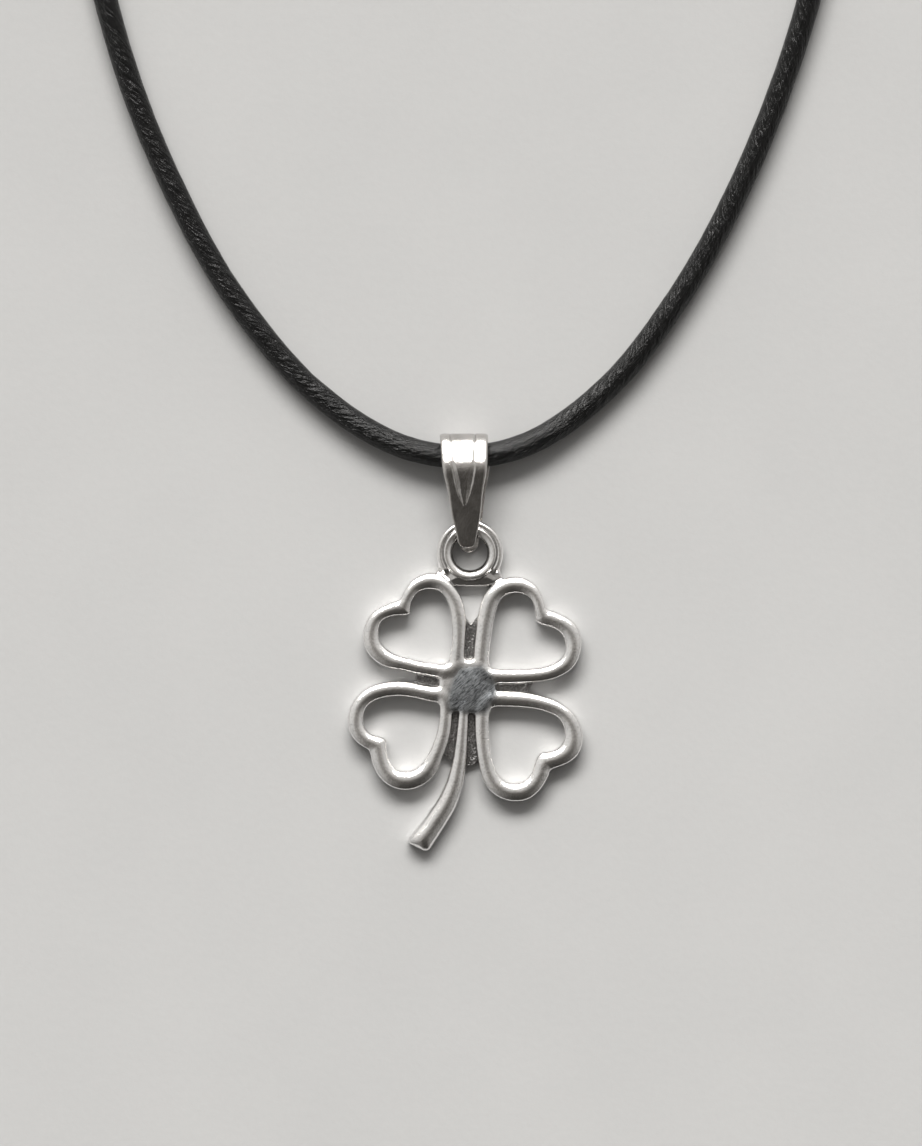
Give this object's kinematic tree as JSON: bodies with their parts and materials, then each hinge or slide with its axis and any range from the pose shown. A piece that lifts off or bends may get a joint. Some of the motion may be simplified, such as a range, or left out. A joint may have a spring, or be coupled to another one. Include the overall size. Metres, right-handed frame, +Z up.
{
  "type": "clover pendant on a leather cord",
  "caption": "Open-leaf clover pendant in cast silver, hung by a folded sheet bail on a round leather cord that closes in a plain barrel.",
  "frame": {"origin": "on the surface that the pendant lies on, under the middle of the pendant's box, measured over the clover and the bail without the cord", "axes": "+X to the right of the clover, +Y from the stem's end up towards the cord, +Z up from the surface through the clover's front"},
  "size_m": [0.1002, 0.2045, 0.0058],
  "materials": {
    "cast_silver": "polished cast silver with a rough middle and dark sunk webs",
    "sheet_silver": "polished sheet with cut grooves",
    "black_leather": "round black leather cord, lightly waxed",
    "barrel_steel": "plain turned barrel"
  },
  "bodies": {
    "root": {"clover": "cast_silver", "bail": "sheet_silver", "cord": "black_leather", "clasp": "barrel_steel"}
  },
  "joints": []
}
